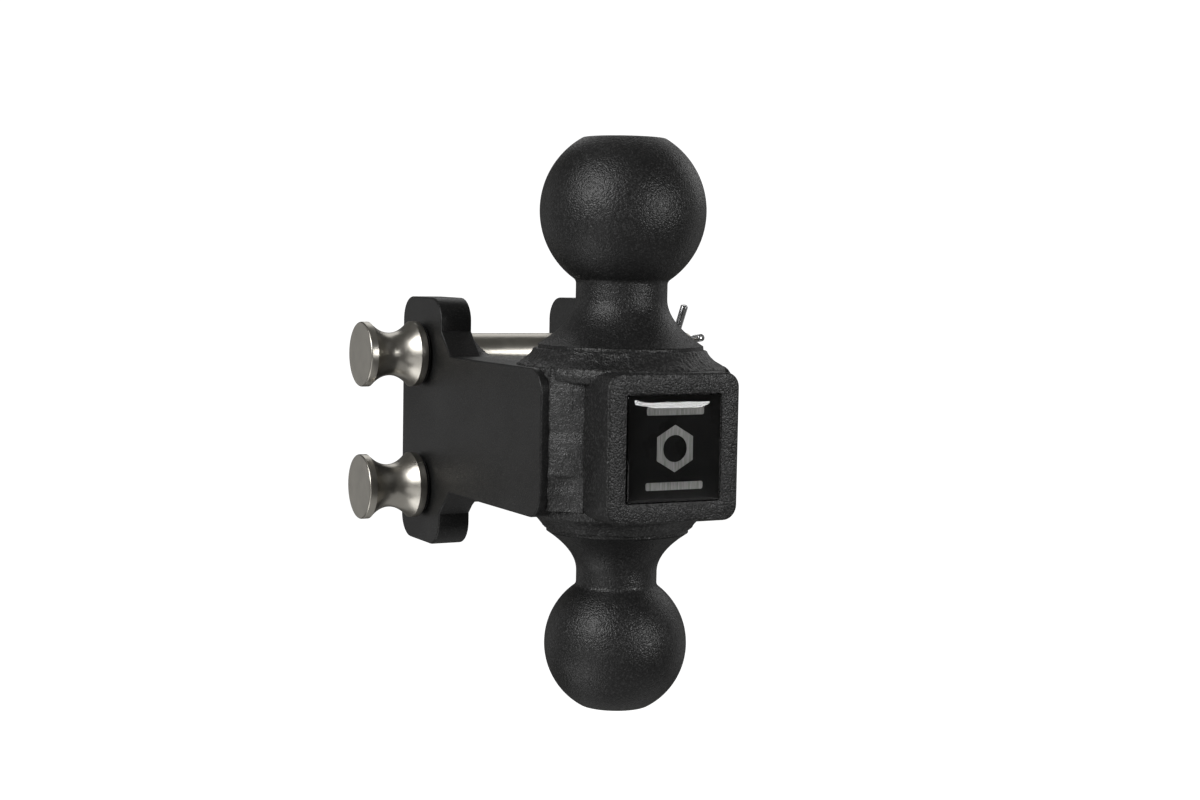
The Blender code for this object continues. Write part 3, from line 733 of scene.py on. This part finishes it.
def welds(ball_finish, plate_finish):
    for height, sizes in BALLS.items():
        ball_bead(height, sizes, ball_finish)
        for hand, side in HANDS.items():
            seam_bead(height, hand, side, plate_finish)
    for hand, side in HANDS.items():
        front_bead(hand, side, plate_finish)


# ---------------------------------------------------------------- badge

def badge(print_finish, silver_finish, resin_finish):
    """Black plate with silver marks, under a clear dome."""
    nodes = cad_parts
    give(nodes["badge_backing"], print_finish)
    for name in ("badge_emblem", "badge_upper_bar", "badge_lower_bar"):
        give(nodes[name], silver_finish)
    side = DOME_HIGH.x - DOME_LOW.x
    shoulder_y = DOME_HIGH.y - DOME_SKIRT
    rise = DOME_HIGH.y - DOME_LOW.y - DOME_SKIRT
    # The resin's back lies inside the print, so that no air is left between them
    back_y = BADGE_LOW.y + DOME_OVERLAP
    rings = [[(x, back_y, z) for x, z in rounded_square(side, BADGE_CORNER_R)]]
    for a in quarter_turn(16):
        inset = DOME_SHOULDER * (1 - math.cos(a))
        y = shoulder_y - rise * math.sin(a)
        outline = rounded_square(side - 2 * inset, BADGE_CORNER_R + inset)
        rings.append([(x, y, z) for x, z in outline])
    mesh = smooth(loft("badge_cover", rings), 50)
    new_object("badge_cover", mesh, "mount", resin_finish, ["badge_dome"])


# ---------------------------------------------------------------- pins and clips

def pin_profile(length):
    """From the head's outer face to the shank's end, as (radius, height above the head's seat)."""
    waist_half = (HEAD_LENGTH - 2 * HEAD_RIM) / 2
    # A ring just inside the face's edge keeps the face's shading even
    ease = 0.3 * MM
    profile = [(0, HEAD_LENGTH), (HEAD_FACE_R - HEAD_CHAMFER - ease, HEAD_LENGTH)]
    profile += arc(HEAD_FACE_R - HEAD_CHAMFER, HEAD_LENGTH - HEAD_CHAMFER, HEAD_CHAMFER, QUARTER, 0, 5)
    steps = 48
    for i in range(steps + 1):
        t = -1 + 2 * i / steps
        rim_r = HEAD_FACE_R if t < 0 else HEAD_FLANGE_R
        profile.append((HEAD_WAIST_R + (rim_r - HEAD_WAIST_R) * t * t, HEAD_RIM + waist_half * (1 - t)))
    profile += arc(HEAD_FLANGE_R - HEAD_CHAMFER, HEAD_CHAMFER, HEAD_CHAMFER, 0, -QUARTER, 4)
    profile += [(PIN_R, 0)]
    end = HEAD_LENGTH - length
    chamfer = 1.2 * MM
    profile += [(PIN_R, end + chamfer), (PIN_R - chamfer, end), (0, end)]
    return profile


def hitch_pin(height, finish):
    """Pin with a spool-shaped head, and a cross hole near its end for the clip."""
    name, node = height + "_hitch_pin", height + "_pin"
    low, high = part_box(node)
    level = PIN_LEVELS[height] * PIN_Z
    seat_x = low.x + HEAD_LENGTH
    place = Matrix.Translation((seat_x, PIN_Y, level)) @ Matrix.Rotation(-QUARTER, 4, "Y")
    blank = bpy.data.objects.new(name, turned(name, pin_profile(high.x - low.x), place, 144))
    hole_profile = [(0, PIN_D), (CLIP_HOLE_R, PIN_D), (CLIP_HOLE_R, -PIN_D), (0, -PIN_D)]
    angle = CLIPS[height]["angle"]
    hole_place = Matrix.Translation((CLIP_X, PIN_Y, level)) @ Matrix.Rotation(angle - QUARTER, 4, "X")
    drill = turned(name + "_hole", hole_profile, hole_place, 48)
    hole = bpy.data.objects.new(name + "_hole", drill)
    for obj in (blank, hole):
        bpy.context.scene.collection.objects.link(obj)
    cut = blank.modifiers.new("Cut", "BOOLEAN")
    cut.operation = "DIFFERENCE"
    cut.object = hole
    bpy.context.view_layer.update()
    mesh = smooth(evaluated(blank), 30)
    bpy.data.objects.remove(hole, do_unlink=True)
    new_object(name, mesh, height + "_pin_body", finish, [node])


def washer(height, finish):
    give(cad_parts[height + "_pin_washer"], finish)


def clip_path():
    """Hairpin centre line as (u, v): straight leg, eye, neck, bow over the pin, flared tip.
    The bow's points are multiples of its radius over the pin."""
    over_pin = PIN_D / 2 + WIRE_D / 2 + CLIP_GAP
    eye = arc(-CLIP_TAIL, CLIP_EYE_R, CLIP_EYE_R, 3 * QUARTER, math.radians(50), 39)
    bow = [
        eye[-2],
        eye[-1],
        (-over_pin * 2.2, CLIP_NECK),
        (-over_pin * 1.45, CLIP_NECK * 1.05),
        (-over_pin * 0.9, over_pin * 0.72),
        (-over_pin * 0.48, over_pin * 0.95),
        (0.0, over_pin * 1.02),
        (over_pin * 0.5, over_pin * 1.03),
        (over_pin * 1.1, over_pin * 1.1),
        (over_pin * 1.48, over_pin * 1.38),
        (CLIP_TIP - 4 * MM, CLIP_FLARE),
        (CLIP_TIP, CLIP_FLARE + 5 * MM),
    ]
    return [(CLIP_TIP, 0.0), (0.0, 0.0)] + eye[:-1] + smooth_through(bow, 8)


def hairpin_clip(height, finish):
    """Spring wire whose straight leg passes through the pin's cross hole."""
    name, node = height + "_hairpin", height + "_clip"
    angle, turn = CLIPS[height]["angle"], CLIPS[height]["turn"]
    along = Vector((0, math.cos(angle), math.sin(angle)))
    across = Vector((0, math.cos(angle + turn * QUARTER), math.sin(angle + turn * QUARTER)))
    start = Vector((CLIP_X, PIN_Y, PIN_LEVELS[height] * PIN_Z))
    path = [start + u * along + v * across for u, v in clip_path()]
    sideways = along.cross(across)
    radius, ease = WIRE_D / 2, 0.35 * MM
    wire_sides = 28
    turns = [2 * math.pi * k / wire_sides for k in range(wire_sides)]
    rings = []
    for i, point in enumerate(path):
        ahead = (path[min(i + 1, len(path) - 1)] - path[max(i - 1, 0)]).normalized()
        inward = ahead.cross(sideways)
        # One ring at each point, and two at each end, whose edge is eased
        ends = ((0.0, radius),)
        if i == 0:
            ends = ((0.0, radius - ease), (ease, radius))
        if i == len(path) - 1:
            ends = ((-ease, radius), (0.0, radius - ease))
        for step, r in ends:
            center = point + step * ahead
            rings.append([center + r * (math.cos(a) * sideways + math.sin(a) * inward) for a in turns])
    mesh = smooth(loft(name, rings), 50)
    new_object(name, mesh, height + "_clip_body", finish, [node])


# ---------------------------------------------------------------- studio

def camera():
    """A nearly level view from the front left, with a slight roll."""
    data = bpy.data.cameras.new("camera")
    data.lens = CAMERA_LENS
    data.clip_start = 0.01
    obj = bpy.data.objects.new("camera", data)
    bpy.context.scene.collection.objects.link(obj)
    turn = Matrix.Rotation(math.radians(-CAMERA_HEADING), 4, "Z")
    tilt = Matrix.Rotation(QUARTER + math.radians(CAMERA_PITCH), 4, "X")
    roll = Matrix.Rotation(math.radians(CAMERA_ROLL), 4, "Z")
    obj.matrix_world = Matrix.Translation(CAMERA_PLACE) @ turn @ tilt @ roll
    bpy.context.scene.camera = obj


def soft_box(name, direction, distance, width, height, radiance):
    """A soft box that faces the object from a direction; only its light and reflection are seen."""
    data = bpy.data.lights.new(name, "AREA")
    data.shape = "RECTANGLE"
    data.size = width
    data.size_y = height
    data.energy = radiance * math.pi * width * height
    obj = bpy.data.objects.new(name, data)
    bpy.context.scene.collection.objects.link(obj)
    away = Vector(direction).normalized()
    obj.location = Vector((0, BALLS_Y, 0)) + distance * away
    obj.rotation_mode = "QUATERNION"
    obj.rotation_quaternion = away.to_track_quat("Z", "Y")
    obj.visible_camera = False


def backdrop(name, mesh, finish):
    """A stage piece that shows as plain white and throws no light on the object."""
    mesh.materials.append(finish)
    obj = bpy.data.objects.new(name, mesh)
    bpy.context.scene.collection.objects.link(obj)
    obj.visible_diffuse = False
    obj.visible_glossy = False
    obj.visible_transmission = False
    obj.visible_shadow = False


def studio():
    """White floor and surroundings, a dim room and the soft boxes."""
    scene = bpy.context.scene
    scene.view_settings.view_transform = "Standard"
    world = bpy.data.worlds.new("studio")
    scene.world = world
    world.use_nodes = True
    background = world.node_tree.nodes["Background"]
    background.inputs["Color"].default_value = ROOM_COLOR
    background.inputs["Strength"].default_value = ROOM_LIGHT

    white = studio_white("studio_white")
    floor = bpy.data.meshes.new("floor")
    corners = [(x * BACKDROP_R, y * BACKDROP_R, FLOOR_Z) for x, y in ((-1, -1), (1, -1), (1, 1), (-1, 1))]
    floor.from_pydata(corners, [], [(0, 1, 2, 3)])
    backdrop("floor", floor, white)
    dome = bpy.data.meshes.new("dome")
    work = bmesh.new()
    bmesh.ops.create_icosphere(work, subdivisions=4, radius=BACKDROP_R)
    work.to_mesh(dome)
    work.free()
    backdrop("dome", dome, white)

    for light in SOFT_BOXES:
        soft_box(**light)


# ---------------------------------------------------------------- the hitch

def build():
    coats = {place: powder_coat("powder_coat_on_" + place, **coat) for place, coat in COATS.items()}
    center_bar(coats["bar"])
    for hand, side in HANDS.items():
        side_plate(hand, side, coats["plates"])
    for height, sizes in BALLS.items():
        ball(height, sizes, coats["balls"])
    welds(coats["ball_welds"], coats["plate_welds"])
    badge(printed_black("print_black"), brushed_silver("print_silver"), clear_resin("resin"))
    steel = turned_steel("turned_steel")
    black_rubber = rubber("rubber")
    wire = plated_wire("plated_wire")
    for height in PIN_LEVELS:
        hitch_pin(height, steel)
        washer(height, black_rubber)
        hairpin_clip(height, wire)
    camera()
    studio()


build()
